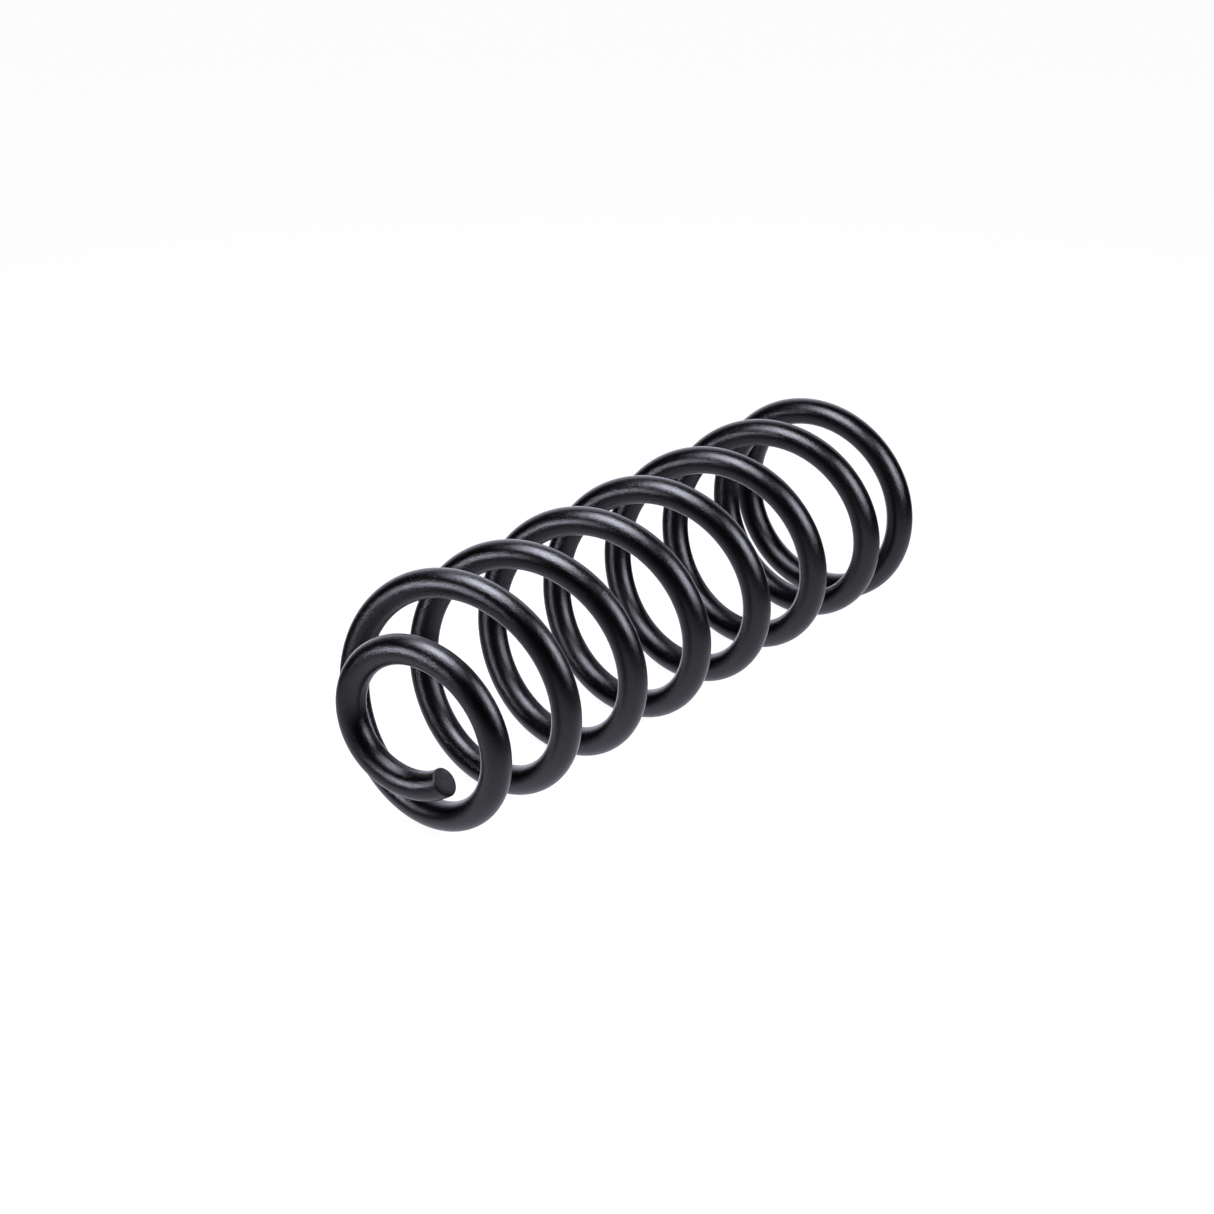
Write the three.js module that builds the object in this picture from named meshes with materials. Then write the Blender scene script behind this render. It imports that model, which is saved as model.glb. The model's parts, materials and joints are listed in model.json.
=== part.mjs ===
// Coil spring of a car's rear suspension, lying on its side.
//
// Millimetres, +Z up. The coil's axis runs along +X, from the small pigtail end to the
// full-size end. The origin is at the middle of the spring's box, on the surface that
// the spring lies on.
//
// The spring is one bar of round steel, wound right-handed. It yields by the twist of
// that bar, a little at every point along it, so the bar is divided here into
// quarter-turn sections. Each section meets the next in a flat round face square to the
// wire, and turns against it about the wire's own centre line.

import * as THREE from 'three';

// Driving dimensions -----------------------------------------------------------------

// The bar.
const WIRE_DIAMETER = 13;

// Mean radius of the full turns, from the coil's axis to the middle of the wire.
const COIL_RADIUS = 48;

// Mean radius of the bar where it has come once round from the tip, and the room between
// it and the tip, which tucks inside it.
const OPENING_RADIUS = COIL_RADIUS - 2;
const TIP_CLEARANCE = 3.5;
const TIP_RADIUS = OPENING_RADIUS - WIRE_DIAMETER - TIP_CLEARANCE;

// Mean radius of the pigtail at stations counted in turns from its tip. The tip is a
// short straight tail. The coil opens a little past its full size before it settles.
const PIGTAIL_STATIONS = [
  { turn: 0.0, radius: TIP_RADIUS },
  { turn: 0.2, radius: TIP_RADIUS - 2 },
  { turn: 0.5, radius: TIP_RADIUS + 1 },
  { turn: 1.0, radius: OPENING_RADIUS },
  { turn: 1.5, radius: COIL_RADIUS + 2 },
  { turn: 2.0, radius: COIL_RADIUS - 0.5 },
  { turn: 2.5, radius: COIL_RADIUS },
];

// Where the bar starts round the coil, in degrees from the lowest point, and its length
// in turns.
const TIP_ANGLE = -38;
const TURNS = 8.43;

// Pitch, in millimetres a turn: at the pigtail's tip, in the first full turn, in the
// active turns and in the end turn. A negative pitch tucks the tip back into the coil.
const TIP_PITCH = -20;
const FIRST_PITCH = 42;
const ACTIVE_PITCH = 50;
const END_PITCH = 21.5;

// Turns, from the tip, between which each pitch gives way to the next.
const PIGTAIL_RAMP = { from: -0.1, to: 1.2 };
const FIRST_RAMP = { from: 1.2, to: 2.7 };
const END_RAMP = { from: TURNS - 1.43, to: TURNS - 0.93 };

// Facets: sides of the wire's outline and straight steps in one turn of the coil.
const WIRE_SIDES = 12;
const STEPS_PER_TURN = 24;

// The bar is divided four times a turn. The first division lies this many degrees past
// the lowest point, so that a whole straight step lies flat below the axis. The last
// division lies this many degrees before the end coil's tip.
const SECTIONS_PER_TURN = 4;
const FIRST_DIVISION = 52.5;
const LAST_SECTION = 64.3;

// Names of the sections, from tip to tip, by the part of the spring they belong to.
const ACTIVE_TURNS = 5;
const PIGTAIL_NAMES = ['pigtail_tip', 'pigtail_left', 'pigtail_top', 'pigtail_right'];
const QUARTER_NAMES = ['bottom', 'left', 'top', 'right'];
const END_NAMES = ['end_coil_seat', 'end_coil_tip'];

const COATING = { color: 0x1c1d22, roughness: 0.38, metalness: 0.15 };

// Derived sizes ----------------------------------------------------------------------

// Share of a step that is only the rounding of a whole number of steps.
const ROUNDING = 0.001;

const DEGREE = Math.PI / 180;
const STEP_ANGLE = 360 / STEPS_PER_TURN;
const SECTION_ANGLE = 360 / SECTIONS_PER_TURN;
const END_ANGLE = TIP_ANGLE + TURNS * 360;

// A straight step touches the true curve at its middle when its ends stand this much
// further out.
const MITRE = 1 / Math.cos((STEP_ANGLE / 2) * DEGREE);

// The middle line of the wire --------------------------------------------------------

// Slope of the radius at a station, in millimetres a turn.
function stationSlope(index) {
  const last = PIGTAIL_STATIONS.length - 1;
  if (index === last) {
    return 0;
  }
  const before = PIGTAIL_STATIONS[Math.max(index - 1, 0)];
  const after = PIGTAIL_STATIONS[index + 1];
  return (after.radius - before.radius) / (after.turn - before.turn);
}

// Mean radius at a number of turns from the tip: a smooth curve through the stations,
// then the coil's own radius.
function meanRadius(turn) {
  const last = PIGTAIL_STATIONS.length - 1;
  if (turn >= PIGTAIL_STATIONS[last].turn) {
    return COIL_RADIUS;
  }
  let index = 0;
  while (turn > PIGTAIL_STATIONS[index + 1].turn) {
    index += 1;
  }
  const from = PIGTAIL_STATIONS[index];
  const to = PIGTAIL_STATIONS[index + 1];
  const span = to.turn - from.turn;
  const u = (turn - from.turn) / span;
  const rise = u * u * (3 - 2 * u);
  const leave = u * (1 - u) * (1 - u) * span * stationSlope(index);
  const arrive = u * u * (u - 1) * span * stationSlope(index + 1);
  return from.radius + (to.radius - from.radius) * rise + leave + arrive;
}

// Turns' worth of the later pitch gained on a smooth ramp from one pitch to the next.
function rampTurns(turn, ramp) {
  const span = ramp.to - ramp.from;
  const u = THREE.MathUtils.clamp((turn - ramp.from) / span, 0, 1);
  return span * (u ** 3 - u ** 4 / 2) + Math.max(turn - ramp.to, 0);
}

// Distance along the axis from the tip.
function axialPosition(turn) {
  const start = rampTurns(0, PIGTAIL_RAMP);
  return TIP_PITCH * turn
    + (FIRST_PITCH - TIP_PITCH) * (rampTurns(turn, PIGTAIL_RAMP) - start)
    + (ACTIVE_PITCH - FIRST_PITCH) * rampTurns(turn, FIRST_RAMP)
    - (ACTIVE_PITCH - END_PITCH) * rampTurns(turn, END_RAMP);
}

// A point on the middle line, at an angle in degrees counted from the lowest point, by
// way of the left side as seen from the pigtail.
function wirePoint(angle, mitre = 1) {
  const turn = (angle - TIP_ANGLE) / 360;
  const point = outwardDirection(angle).multiplyScalar(meanRadius(turn) * mitre);
  return point.setX(axialPosition(turn));
}

// Direction straight away from the coil's axis.
function outwardDirection(angle) {
  return new THREE.Vector3(0, Math.sin(angle * DEGREE), -Math.cos(angle * DEGREE));
}

// Direction of the wire, from tip to tip.
function wireDirection(angle) {
  const small = 0.01;
  return wirePoint(angle + small).sub(wirePoint(angle - small)).normalize();
}

// The middle line of one section. Its frames keep one side of the wire's outline facing
// straight away from the axis, and stretch the outline outward by the mitre. The two end
// frames are square to the wire. Those between stand in planes through the axis, with
// the outline stretched along the axis to match, so the outermost flat of a full turn's
// step is a true plane, and the lowest ones carry the spring as it lies.
class SectionCurve extends THREE.Curve {
  constructor(fromAngle, toAngle) {
    super();
    this.fromAngle = fromAngle;
    this.toAngle = toAngle;
  }

  angleAt(u) {
    return THREE.MathUtils.lerp(this.fromAngle, this.toAngle, u);
  }

  getPoint(u, target = new THREE.Vector3()) {
    return target.copy(wirePoint(this.angleAt(u), MITRE));
  }

  // Equal steps of angle, so that the steps of neighbouring turns line up.
  getSpacedPoints(steps) {
    return this.getPoints(steps);
  }

  computeFrenetFrames(steps) {
    const tangents = [];
    const normals = [];
    const binormals = [];
    for (let i = 0; i <= steps; i += 1) {
      const angle = this.angleAt(i / steps);
      const tangent = wireDirection(angle);
      const outward = outwardDirection(angle);
      const sideways = new THREE.Vector3(-1, 0, 0);
      if (i === 0 || i === steps) {
        outward.addScaledVector(tangent, -outward.dot(tangent)).normalize();
        sideways.crossVectors(tangent, outward);
      } else {
        sideways.divideScalar(Math.hypot(tangent.y, tangent.z));
      }
      tangents.push(tangent);
      normals.push(outward.multiplyScalar(MITRE));
      binormals.push(sideways);
    }
    return { tangents, normals, binormals };
  }
}

// The parts --------------------------------------------------------------------------

// The wire's outline: a polygon whose flats touch the round bar, with one flat facing
// outward.
function wireOutline() {
  const cornerRadius = WIRE_DIAMETER / 2 / Math.cos(Math.PI / WIRE_SIDES);
  const points = [];
  for (let side = 0; side < WIRE_SIDES; side += 1) {
    const angle = ((side + 0.5) / WIRE_SIDES) * 2 * Math.PI;
    const x = cornerRadius * Math.cos(angle);
    const y = cornerRadius * Math.sin(angle);
    points.push(new THREE.Vector2(x, y));
  }
  return new THREE.Shape(points);
}

// Angles at which the bar is divided, with both tips.
// The sections at either end keep their own length and place from their tip, and the
// active turns' sections share the bar between them equally.
function divisionAngles() {
  const firstNames = PIGTAIL_NAMES.length + QUARTER_NAMES.length;
  const lastNames = QUARTER_NAMES.length + END_NAMES.length;
  const first = Array.from({ length: firstNames }, (_, i) => (
    FIRST_DIVISION + i * SECTION_ANGLE
  ));
  const last = Array.from({ length: lastNames }, (_, i) => (
    END_ANGLE - LAST_SECTION - (lastNames - 1 - i) * SECTION_ANGLE
  ));
  const activeNames = ACTIVE_TURNS * QUARTER_NAMES.length;
  const activeStart = first[first.length - 1];
  const active = [];
  for (let i = 1; i < activeNames; i += 1) {
    active.push(THREE.MathUtils.lerp(activeStart, last[0], i / activeNames));
  }
  return [TIP_ANGLE, ...first, ...active, ...last, END_ANGLE];
}

// One name for each section: the pigtail, the opening turn, the active turns and the
// end coil.
function sectionNames() {
  const names = [...PIGTAIL_NAMES];
  names.push(...QUARTER_NAMES.map((quarter) => `opening_turn_${quarter}`));
  for (let turn = 1; turn <= ACTIVE_TURNS; turn += 1) {
    names.push(...QUARTER_NAMES.map((quarter) => `active_turn_${turn}_${quarter}`));
  }
  names.push(...QUARTER_NAMES.map((quarter) => `end_turn_${quarter}`));
  names.push(...END_NAMES);
  return names;
}

function makeSection(name, fromAngle, toAngle) {
  const steps = Math.ceil((toAngle - fromAngle) / STEP_ANGLE - ROUNDING);
  const extrudePath = new SectionCurve(fromAngle, toAngle);
  const options = { steps, bevelEnabled: false, extrudePath };
  const geometry = new THREE.ExtrudeGeometry(wireOutline(), options);
  const section = new THREE.Mesh(geometry, new THREE.MeshStandardMaterial(COATING));
  section.name = name;
  return section;
}

function makeCoil() {
  const coil = new THREE.Group();
  const angles = divisionAngles();
  sectionNames().forEach((name, i) => {
    coil.add(makeSection(name, angles[i], angles[i + 1]));
  });
  return coil;
}

// The coil, moved so that the middle of its box is over the origin and it lies on Z = 0.
function makeSpring() {
  const spring = new THREE.Group();
  const coil = makeCoil();
  const box = new THREE.Box3().setFromObject(coil, true);
  const middle = box.getCenter(new THREE.Vector3());
  coil.position.set(-middle.x, -middle.y, -box.min.z);
  spring.add(coil);
  return spring;
}

export default makeSpring();
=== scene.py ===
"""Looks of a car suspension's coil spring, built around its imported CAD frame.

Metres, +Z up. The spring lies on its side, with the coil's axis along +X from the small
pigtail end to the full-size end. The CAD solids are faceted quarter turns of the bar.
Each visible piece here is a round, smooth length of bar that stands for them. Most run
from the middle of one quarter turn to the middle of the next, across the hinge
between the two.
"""

import json
import math

import bpy
import numpy as np
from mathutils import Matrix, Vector

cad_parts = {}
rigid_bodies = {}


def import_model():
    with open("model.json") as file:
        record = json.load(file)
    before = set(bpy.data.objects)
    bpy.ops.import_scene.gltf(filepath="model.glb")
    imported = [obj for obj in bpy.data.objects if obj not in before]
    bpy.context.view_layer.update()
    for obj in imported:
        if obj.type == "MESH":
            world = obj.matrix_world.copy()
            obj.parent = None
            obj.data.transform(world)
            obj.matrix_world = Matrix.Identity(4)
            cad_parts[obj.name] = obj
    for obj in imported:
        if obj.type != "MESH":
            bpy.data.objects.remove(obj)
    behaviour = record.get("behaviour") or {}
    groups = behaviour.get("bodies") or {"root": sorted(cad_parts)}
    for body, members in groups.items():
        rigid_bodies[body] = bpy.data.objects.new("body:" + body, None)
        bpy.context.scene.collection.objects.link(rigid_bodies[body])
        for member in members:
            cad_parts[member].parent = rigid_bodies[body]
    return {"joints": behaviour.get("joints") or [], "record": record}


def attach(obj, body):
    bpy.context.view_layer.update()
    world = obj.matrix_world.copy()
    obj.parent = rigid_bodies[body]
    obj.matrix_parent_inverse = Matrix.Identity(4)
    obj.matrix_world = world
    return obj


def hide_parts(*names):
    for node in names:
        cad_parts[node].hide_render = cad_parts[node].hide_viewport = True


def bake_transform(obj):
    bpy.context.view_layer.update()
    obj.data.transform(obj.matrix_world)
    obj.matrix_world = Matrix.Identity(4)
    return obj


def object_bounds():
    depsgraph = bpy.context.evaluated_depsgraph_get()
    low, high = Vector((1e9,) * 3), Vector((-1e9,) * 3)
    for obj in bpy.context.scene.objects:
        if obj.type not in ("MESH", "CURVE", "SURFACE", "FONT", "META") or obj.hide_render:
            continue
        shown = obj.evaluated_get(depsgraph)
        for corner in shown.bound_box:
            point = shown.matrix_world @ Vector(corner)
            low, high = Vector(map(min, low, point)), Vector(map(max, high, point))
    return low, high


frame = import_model()
CAD_LOW, CAD_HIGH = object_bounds()

# The bar's own sizes, as the CAD has them, in metres and turns --------------------------

WIRE_RADIUS = 0.0065
COIL_RADIUS = 0.048
TIP_RADIUS = COIL_RADIUS - 0.002 - 2 * WIRE_RADIUS - 0.0035

# Mean radius of the pigtail at stations counted in turns from its tip.
STATION_TURNS = (0.0, 0.2, 0.5, 1.0, 1.5, 2.0, 2.5)
STATION_RADII = (
    TIP_RADIUS,
    TIP_RADIUS - 0.002,
    TIP_RADIUS + 0.001,
    COIL_RADIUS - 0.002,
    COIL_RADIUS + 0.002,
    COIL_RADIUS - 0.0005,
    COIL_RADIUS,
)

# Where the bar starts round the coil, in radians from the lowest point, and its length.
TIP_ANGLE = math.radians(-38)
TURNS = 8.43

# Pitch in metres a turn, and the turns between which each gives way to the next.
TIP_PITCH = -0.020
FIRST_PITCH = 0.042
ACTIVE_PITCH = 0.050
END_PITCH = 0.0215
PIGTAIL_RAMP = (-0.1, 1.2)
FIRST_RAMP = (1.2, 2.7)
END_RAMP = (TURNS - 1.43, TURNS - 0.93)

# The CAD divides the bar four times a turn, from this angle on.
FIRST_DIVISION = math.radians(52.5)
QUARTER = 0.25

# Straight steps in one turn of the CAD's bar. Its divisions stand out by the mitre.
CAD_STEPS_PER_TURN = 24
CAD_MITRE = 1 / math.cos(math.pi / CAD_STEPS_PER_TURN)

# Fineness of the smooth bar.
SIDES = 64
STEPS_PER_TURN = 192

# The first division with a hinge: the pigtail's first two quarter turns are one body.
FIRST_HINGE = 1

# The tips are cut square. The coat rounds the cut's edge, and the shear leaves fine,
# wavering ridges on the face, which fade out over a share of its radius at the edge.
# Towards the coil's axis the bar has broken off, a little deeper, and only part of the
# ridges' depth is left. Waves are in radians a metre.
EDGE_ROUND = 0.0006
EDGE_RINGS = 6
FACE_RINGS = 9
RIDGE_WAVES = 3400
RIDGE_DEPTH = 0.00005
RIDGE_FADE = 0.25
WAVER_WAVES = 900
WAVER = 0.8
BREAK_DEPTH = 0.00007
BREAK_INWARD = 0.0016
BREAK_SHARPNESS = 4200
RIDGES_LOST = 0.6

# The coat: its colours on the grain's low parts and its tops, its least and most
# roughness along the bar, the roughness that the grain's tops add, and the grain's height.
BLACKS = ((0.0002, 0.0002, 0.0003), (0.0008, 0.0008, 0.0011))
GLOSS = (0.17, 0.25)
TOPS_ROUGHER = 0.05
COAT_IOR = 1.52
GRAIN_HEIGHT = 0.00006

# The coat's noises: scale in waves a metre, detail and roughness. The peening and the
# patches are stretched from NOISE_RANGE, which holds most of their values. PEEL_SHARE is
# the peel's weight in the grain's height, where the others count once.
PEENING = (1700, 2.0, 0.6)
PEEL = (650, 2.0, 0.5)
SWELLS = (160, 1.0, 0.5)
PATCHES = (28, 4.0, 0.6)
NOISE_RANGE = (0.3, 0.7)
PEEL_SHARE = 0.8

# Light: a slightly cool white. The surround is bright below, by height, and behind, by
# how nearly a view of it points along SWEEP_BEHIND. Each of the two fades is given as
# from, to, brightness at from and brightness at to.
COOL = (0.94, 0.95, 1.10)
SWEEP_BELOW = (-0.55, -0.24, 0.80, 0.0)
SWEEP_BEHIND = (0.80, 0.58, 0.15)
BEHIND_FADE = (0.62, 0.92, 0.0, 1.5)

# Soft boxes: name, place, width, length and radiance.
LAMPS = (
    ("overhead", (-0.15, 0.0, 0.47), 0.26, 0.26, 17.0),
    ("right", (0.07, -0.43, 0.26), 0.27, 0.27, 11.0),
    ("front_left", (-0.62, 0.24, 0.15), 0.26, 0.10, 22.0),
)

# The floor and the backdrop: radius, the share of light that the floor returns, and the
# light that each gives off. The backdrop has to lie within the camera's reach.
FLOOR_RADIUS = 30.0
FLOOR_SHADE = 0.16
FLOOR_GLOW = 0.95
BACKDROP_RADIUS = 12.0
BACKDROP_GLOW = 0.97
STAGE_SIDES = 96

# The camera: its heading and downward tilt in radians, its focal length and the width of
# its sensor in millimetres, and its place in metres from a point on the coil's axis, to
# its right, down and forward.
HEADING = 0.62
TILT = 0.396
FOCAL_LENGTH = 77.91005
SENSOR_WIDTH = 36
AIM_ALONG = 0.160
CAMERA_OFFSET = (-0.010811, 0.002912, -1.214183)


# The middle line of the wire ------------------------------------------------------------


def station_slopes():
    """Slope of the radius at each station, in metres a turn."""
    turns = np.array(STATION_TURNS)
    radii = np.array(STATION_RADII)
    slopes = np.zeros(len(turns))
    slopes[1:-1] = (radii[2:] - radii[:-2]) / (turns[2:] - turns[:-2])
    slopes[0] = (radii[1] - radii[0]) / (turns[1] - turns[0])
    return slopes


def mean_radius(turn):
    """Mean radius at numbers of turns from the tip: a smooth curve through the stations."""
    turns = np.array(STATION_TURNS)
    radii = np.array(STATION_RADII)
    slopes = station_slopes()
    index = np.clip(np.searchsorted(turns, turn, side="right") - 1, 0, len(turns) - 2)
    span = turns[index + 1] - turns[index]
    u = np.clip((turn - turns[index]) / span, 0, 1)
    rise = u * u * (3 - 2 * u)
    leave = u * (1 - u) ** 2 * span * slopes[index]
    arrive = u * u * (u - 1) * span * slopes[index + 1]
    return radii[index] + (radii[index + 1] - radii[index]) * rise + leave + arrive


def ramp_turns(turn, ramp):
    """Turns' worth of the later pitch gained on a smooth ramp from one pitch to the next."""
    low, high = ramp
    u = np.clip((turn - low) / (high - low), 0, 1)
    return (high - low) * (u**3 - u**4 / 2) + np.maximum(turn - high, 0)


def coil_points(turn):
    """Points of the middle line, with the coil's axis through the origin along X."""
    turn = np.asarray(turn, float)
    start = ramp_turns(0.0, PIGTAIL_RAMP)
    along = (
        TIP_PITCH * turn
        + (FIRST_PITCH - TIP_PITCH) * (ramp_turns(turn, PIGTAIL_RAMP) - start)
        + (ACTIVE_PITCH - FIRST_PITCH) * ramp_turns(turn, FIRST_RAMP)
        - (ACTIVE_PITCH - END_PITCH) * ramp_turns(turn, END_RAMP)
    )
    angle = TIP_ANGLE + 2 * math.pi * turn
    radius = mean_radius(turn)
    return np.stack([along, radius * np.sin(angle), -radius * np.cos(angle)], -1)


def unit(vectors):
    return vectors / np.linalg.norm(vectors, axis=-1, keepdims=True)


def wire_frames(turn):
    """Point, direction, outward and sideways directions of the wire at each turn."""
    turn = np.asarray(turn, float)
    small = 1e-5
    direction = unit(coil_points(turn + small) - coil_points(turn - small))
    angle = TIP_ANGLE + 2 * math.pi * turn
    outward = np.stack([np.zeros_like(angle), np.sin(angle), -np.cos(angle)], -1)
    outward = outward - direction * (outward * direction).sum(-1, keepdims=True)
    outward = unit(outward)
    sideways = np.cross(direction, outward)
    return coil_points(turn) + COIL_ORIGIN, direction, outward, sideways


def division_turn(index):
    """Turns from the tip at which the CAD divides the bar."""
    return (FIRST_DIVISION - TIP_ANGLE) / (2 * math.pi) + index * QUARTER


def coil_origin():
    """The place of the coil's axis at the tip, from the first hinge that the CAD gives."""
    on_axis = coil_points(division_turn(FIRST_HINGE)) * (1, CAD_MITRE, CAD_MITRE)
    return np.array(frame["joints"][0]["pos_m"]) - on_axis


COIL_ORIGIN = coil_origin()


# Material -------------------------------------------------------------------------------


def add_node(tree, kind, place, **values):
    node = tree.nodes.new(kind)
    node.location = place
    for name, value in values.items():
        setattr(node, name, value)
    return node


def noise(tree, place, scale, detail, rough):
    node = add_node(tree, "ShaderNodeTexNoise", place)
    node.inputs["Scale"].default_value = scale
    node.inputs["Detail"].default_value = detail
    node.inputs["Roughness"].default_value = rough
    tree.links.new(tree.nodes["rest"].outputs["Vector"], node.inputs["Vector"])
    return node.outputs["Fac"]


def spread(tree, place, value, low, high, to_low, to_high, kind="LINEAR"):
    node = add_node(tree, "ShaderNodeMapRange", place, interpolation_type=kind)
    tree.links.new(value, node.inputs["Value"])
    for name, number in zip(
        ("From Min", "From Max", "To Min", "To Max"), (low, high, to_low, to_high)
    ):
        node.inputs[name].default_value = number
    return node.outputs["Result"]


def math_node(tree, place, operation, *values):
    node = add_node(tree, "ShaderNodeMath", place, operation=operation)
    for socket, value in zip(node.inputs, values):
        if isinstance(value, (int, float)):
            socket.default_value = value
        else:
            tree.links.new(value, socket)
    return node.outputs[0]


def coated_steel():
    """Black powder coat over shot-peened steel: a fine peened grain under a soft gloss."""
    material = bpy.data.materials.new("coated_bar_black")
    material.use_nodes = True
    tree = material.node_tree
    shader = tree.nodes["Principled BSDF"]
    add_node(
        tree, "ShaderNodeAttribute", (-1600, 0), name="rest", attribute_name="rest_place"
    )

    # Peening leaves fine dimples. The coat softens them and adds a broader orange peel
    # of its own.
    peening = noise(tree, (-1300, -300), *PEENING)
    dimples = spread(tree, (-1100, -300), peening, *NOISE_RANGE, 0, 1)
    peel = noise(tree, (-1300, -550), *PEEL)
    swells = noise(tree, (-1300, -800), *SWELLS)
    height = math_node(tree, (-850, -450), "MULTIPLY_ADD", peel, PEEL_SHARE, dimples)
    height = math_node(tree, (-650, -550), "ADD", height, swells)
    bump = add_node(tree, "ShaderNodeBump", (-400, -450))
    bump.inputs["Distance"].default_value = GRAIN_HEIGHT
    bump.inputs["Strength"].default_value = 1.0
    tree.links.new(height, bump.inputs["Height"])
    tree.links.new(bump.outputs["Normal"], shader.inputs["Normal"])

    # The gloss and the colour drift a little along the bar, and the coat thins to a
    # slightly lighter grey on the highest grain.
    patches = noise(tree, (-1300, 300), *PATCHES)
    drift = spread(tree, (-1000, 250), patches, *NOISE_RANGE, *GLOSS)
    gloss = math_node(tree, (-700, 150), "MULTIPLY_ADD", dimples, TOPS_ROUGHER, drift)
    tree.links.new(gloss, shader.inputs["Roughness"])
    mix = add_node(tree, "ShaderNodeMix", (-400, 350), data_type="RGBA")
    share = math_node(tree, (-700, 400), "MULTIPLY", patches, dimples)
    tree.links.new(share, mix.inputs["Factor"])
    mix.inputs["A"].default_value = (*BLACKS[0], 1)
    mix.inputs["B"].default_value = (*BLACKS[1], 1)
    tree.links.new(mix.outputs["Result"], shader.inputs["Base Color"])
    shader.inputs["IOR"].default_value = COAT_IOR
    return material


# Mesh -----------------------------------------------------------------------------------

AROUND = np.arange(SIDES) * 2 * math.pi / SIDES


def ring_directions(outward, sideways):
    """Directions from the middle of the wire to each point of its round outline."""
    return np.cos(AROUND)[:, None] * outward + np.sin(AROUND)[:, None] * sideways


def cut_depth(across, up):
    """How deep the cut face lies. Up is away from the coil's axis."""
    waver = WAVER * np.sin(up * WAVER_WAVES)
    ridges = 0.5 + 0.5 * np.sin(across * RIDGE_WAVES + waver)
    broken = 1 / (1 + np.exp((up + BREAK_INWARD) * BREAK_SHARPNESS))
    return RIDGE_DEPTH * ridges * (1 - RIDGES_LOST * broken) + BREAK_DEPTH * broken


def tip_rings(point, out, outward, sideways):
    """Rings from the bar's side round the cut edge and in across the face."""
    spokes = ring_directions(outward, sideways)
    rings = []
    for i in range(1, EDGE_RINGS + 1):
        turn = i / EDGE_RINGS * math.pi / 2
        back = EDGE_ROUND * (1 - math.sin(turn))
        reach = WIRE_RADIUS - EDGE_ROUND * (1 - math.cos(turn))
        rings.append(point - back * out + reach * spokes)
    face_radius = WIRE_RADIUS - EDGE_ROUND
    for i in range(1, FACE_RINGS + 1):
        share = 1 - i / (FACE_RINGS + 0.5)
        flat = point + face_radius * share * spokes
        across = (flat - point) @ sideways
        up = (flat - point) @ outward
        fade = min(1.0, (1 - share) / RIDGE_FADE)
        rings.append(flat - (cut_depth(across, up) * fade)[:, None] * out)
    return rings


def bar_piece(name, start, end, cut_start=False, cut_end=False):
    """A closed, round length of the bar between two turns, with either tip cut."""
    small = 1e-4
    inset = [0.0, 0.0]
    for side, (turn, cut) in enumerate(((start, cut_start), (end, cut_end))):
        if cut:
            ahead, behind = coil_points(turn + small), coil_points(turn - small)
            inset[side] = EDGE_ROUND * 2 * small / np.linalg.norm(ahead - behind)
    steps = int(round((end - start) * STEPS_PER_TURN))
    turns = np.linspace(start + inset[0], end - inset[1], steps + 1)
    points, directions, outwards, sides = wire_frames(turns)
    spokes = [ring_directions(o, s) for o, s in zip(outwards, sides)]
    rings = [p + WIRE_RADIUS * spoke for p, spoke in zip(points, spokes)]
    normals = list(spokes)
    tips = wire_frames([start, end])
    if cut_start:
        point, direction, outward, sideways = (part[0] for part in tips)
        made = tip_rings(point, -direction, outward, sideways)
        rings = made[::-1] + rings
        normals = [np.zeros((SIDES, 3))] * len(made) + normals
    if cut_end:
        point, direction, outward, sideways = (part[1] for part in tips)
        made = tip_rings(point, direction, outward, sideways)
        rings = rings + made
        normals = normals + [np.zeros((SIDES, 3))] * len(made)

    count = len(rings)
    verts = np.vstack(rings)
    index = np.arange(count * SIDES).reshape(count, SIDES)
    after = np.roll(index, -1, axis=1)
    quads = np.stack([index[:-1], after[:-1], after[1:], index[1:]], -1).reshape(-1, 4)
    faces = quads.tolist() + [index[0][::-1].tolist(), index[-1].tolist()]
    mesh = bpy.data.meshes.new(name)
    mesh.from_pydata(verts.tolist(), [], faces)
    mesh.update()
    mesh.polygons.foreach_set("use_smooth", [True] * len(faces))

    # Neighbouring pieces shade as one bar, because each keeps the round bar's own
    # normals right up to the flat faces where they meet.
    by_vertex = np.vstack(normals)
    start_normal = (0, 0, 0) if cut_start else tuple(-directions[0])
    end_normal = (0, 0, 0) if cut_end else tuple(directions[-1])
    loop_normals = by_vertex[quads.ravel()].tolist()
    loop_normals += [start_normal] * SIDES + [end_normal] * SIDES
    mesh.normals_split_custom_set(loop_normals)
    rest = mesh.attributes.new("rest_place", "FLOAT_VECTOR", "POINT")
    rest.data.foreach_set("vector", verts.astype(np.float32).ravel())
    piece = bpy.data.objects.new(name, mesh)
    bpy.context.scene.collection.objects.link(piece)
    return piece


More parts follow.
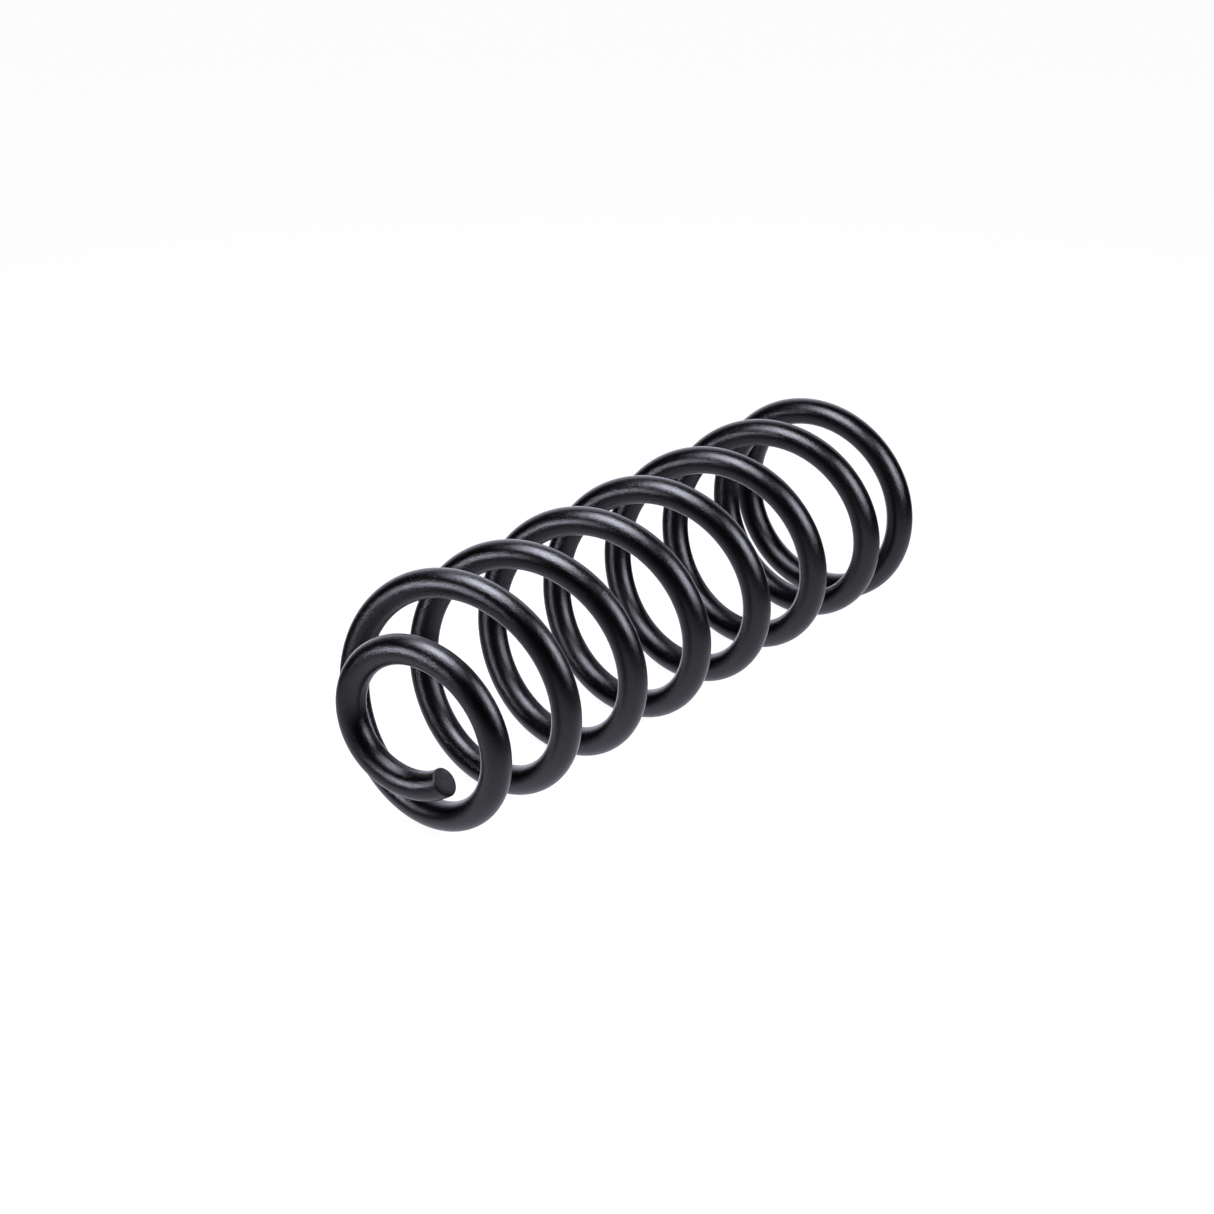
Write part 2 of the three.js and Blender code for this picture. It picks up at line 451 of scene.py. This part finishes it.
def build_bar():
    """All the visible pieces. The two end pieces ride on the CAD's end bodies; those between
    them are attached to no body.
    """
    material = coated_steel()
    record = frame["record"]
    bodies = record["behaviour"]["bodies"]
    joints = frame["joints"]
    nodes = [entry["node"] for entry in record["subparts"]]

    # The bar is divided in the middle of each quarter turn that lies between two hinges.
    hinge_turns = [division_turn(FIRST_HINGE + i) for i in range(len(joints))]
    middles = [turn - QUARTER / 2 for turn in hinge_turns]
    middles.append(hinge_turns[-1] + QUARTER / 2)

    first_body, last_body = joints[0]["parent"], joints[-1]["child"]
    pieces = []
    tail = bar_piece("bar_pigtail", 0.0, middles[0], cut_start=True)
    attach(tail, first_body)
    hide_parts(*bodies[first_body])
    pieces.append(tail)
    for number, joint in enumerate(joints):
        child = joint["child"]
        piece = bar_piece(f"bar_{child}", middles[number], middles[number + 1])
        points = wire_frames([middles[number], middles[number + 1]])[0]
        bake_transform(piece)
        if child != last_body:
            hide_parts(*bodies[child])
        pieces.append(piece)
    seat = bar_piece("bar_end_coil_seat", middles[-1], TURNS, cut_end=True)
    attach(seat, last_body)
    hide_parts(*bodies[last_body])
    pieces.append(seat)
    for piece in pieces:
        piece.data.materials.append(material)
    assert sorted(n for names in bodies.values() for n in names) == sorted(nodes)


build_bar()

# Stage ----------------------------------------------------------------------------------


def stage_piece(name, points, faces, shade, glow):
    """A dull piece of the stage that gives off white light of its own."""
    mesh = bpy.data.meshes.new(name)
    mesh.from_pydata(points, [], faces)
    piece = bpy.data.objects.new(name, mesh)
    bpy.context.scene.collection.objects.link(piece)
    material = bpy.data.materials.new(f"{name}_white")
    material.use_nodes = True
    shader = material.node_tree.nodes["Principled BSDF"]
    shader.inputs["Base Color"].default_value = (shade, shade, shade, 1)
    shader.inputs["Roughness"].default_value = 0.9
    shader.inputs["Specular IOR Level"].default_value = 0.0
    shader.inputs["Emission Color"].default_value = (1.0, 1.0, 1.0, 1)
    shader.inputs["Emission Strength"].default_value = glow
    mesh.materials.append(material)
    # The gloss reflects the surround's own white sweep, and not the stage.
    piece.visible_glossy = False
    return piece


def stage_ring(radius, height):
    turns = [2 * math.pi * i / STAGE_SIDES for i in range(STAGE_SIDES)]
    return [(radius * math.cos(t), radius * math.sin(t), height) for t in turns]


def plain_floor():
    """A round white floor, made bright mostly by the light that it gives off itself."""
    points = stage_ring(FLOOR_RADIUS, 0)
    stage_piece("floor", points, [tuple(range(STAGE_SIDES))], FLOOR_SHADE, FLOOR_GLOW)


def plain_backdrop():
    """A white dome over the floor's edge, which closes the view behind the spring.

    Only the camera sees it, so it casts no light, shadow or reflection on the spring.
    """
    levels, sink, top = 24, 0.02, math.radians(88)
    points = []
    for level in range(levels):
        rise = top * level / (levels - 1)
        reach, height = math.cos(rise), math.sin(rise)
        points += stage_ring(BACKDROP_RADIUS * reach, BACKDROP_RADIUS * height - sink)
    index = np.arange(levels * STAGE_SIDES).reshape(levels, STAGE_SIDES)
    after = np.roll(index, -1, axis=1)
    quads = np.stack([index[:-1], index[1:], after[1:], after[:-1]], -1).reshape(-1, 4)
    faces = quads.tolist() + [index[-1].tolist()]
    backdrop = stage_piece("backdrop", points, faces, 0.0, BACKDROP_GLOW)
    backdrop.visible_diffuse = False
    backdrop.visible_shadow = False


def plain_surround():
    """The studio round the spring: a white sweep below and behind it, dark elsewhere."""
    world = bpy.data.worlds.new("surround")
    bpy.context.scene.world = world
    world.use_nodes = True
    tree = world.node_tree
    place = add_node(tree, "ShaderNodeTexCoord", (-1100, 0)).outputs["Generated"]
    split = add_node(tree, "ShaderNodeSeparateXYZ", (-900, 200))
    tree.links.new(place, split.inputs["Vector"])
    below = spread(tree, (-600, 200), split.outputs["Z"], *SWEEP_BELOW, kind="SMOOTHSTEP")
    toward = add_node(tree, "ShaderNodeVectorMath", (-900, -100), operation="DOT_PRODUCT")
    tree.links.new(place, toward.inputs[0])
    toward.inputs[1].default_value = SWEEP_BEHIND
    facing = toward.outputs["Value"]
    behind = spread(tree, (-600, -100), facing, *BEHIND_FADE, kind="SMOOTHSTEP")
    both = math_node(tree, (-350, 100), "ADD", below, behind)
    background = tree.nodes["Background"]
    tree.links.new(both, background.inputs["Strength"])
    background.inputs["Color"].default_value = (*COOL, 1)


def softbox(name, place, width, length, radiance):
    """A soft light box of even radiance, which faces the spring's middle."""
    light = bpy.data.lights.new(name, "AREA")
    light.shape = "RECTANGLE"
    light.size, light.size_y = width, length
    light.energy = math.pi * width * length * radiance
    light.color = COOL
    lamp = bpy.data.objects.new(name, light)
    lamp.location = place
    lamp.rotation_mode = "QUATERNION"
    aim = Vector((0, 0, CAD_HIGH[2] / 2)) - Vector(place)
    lamp.rotation_quaternion = aim.to_track_quat("-Z", "Y")
    lamp.visible_camera = False
    bpy.context.scene.collection.objects.link(lamp)


def studio():
    plain_floor()
    plain_backdrop()
    plain_surround()
    for lamp in LAMPS:
        softbox(*lamp)


def camera():
    """The camera at the photograph's viewing angle, aimed past a point on the axis."""
    ahead = (math.cos(HEADING), math.sin(HEADING))
    flat = math.cos(TILT)
    forward = Vector((ahead[0] * flat, ahead[1] * flat, -math.sin(TILT)))
    right = Vector((ahead[1], -ahead[0], 0))
    down = forward.cross(right)
    on_axis = Vector(COIL_ORIGIN) + Vector((AIM_ALONG, 0, 0))
    data = bpy.data.cameras.new("camera")
    data.sensor_width = SENSOR_WIDTH
    data.lens = FOCAL_LENGTH
    to_right, to_down, to_forward = CAMERA_OFFSET
    lens = bpy.data.objects.new("camera", data)
    lens.location = on_axis + to_right * right + to_down * down + to_forward * forward
    lens.rotation_mode = "QUATERNION"
    lens.rotation_quaternion = forward.to_track_quat("-Z", "Y")
    bpy.context.scene.collection.objects.link(lens)
    bpy.context.scene.camera = lens


studio()
camera()
bpy.context.scene.view_settings.view_transform = "Standard"
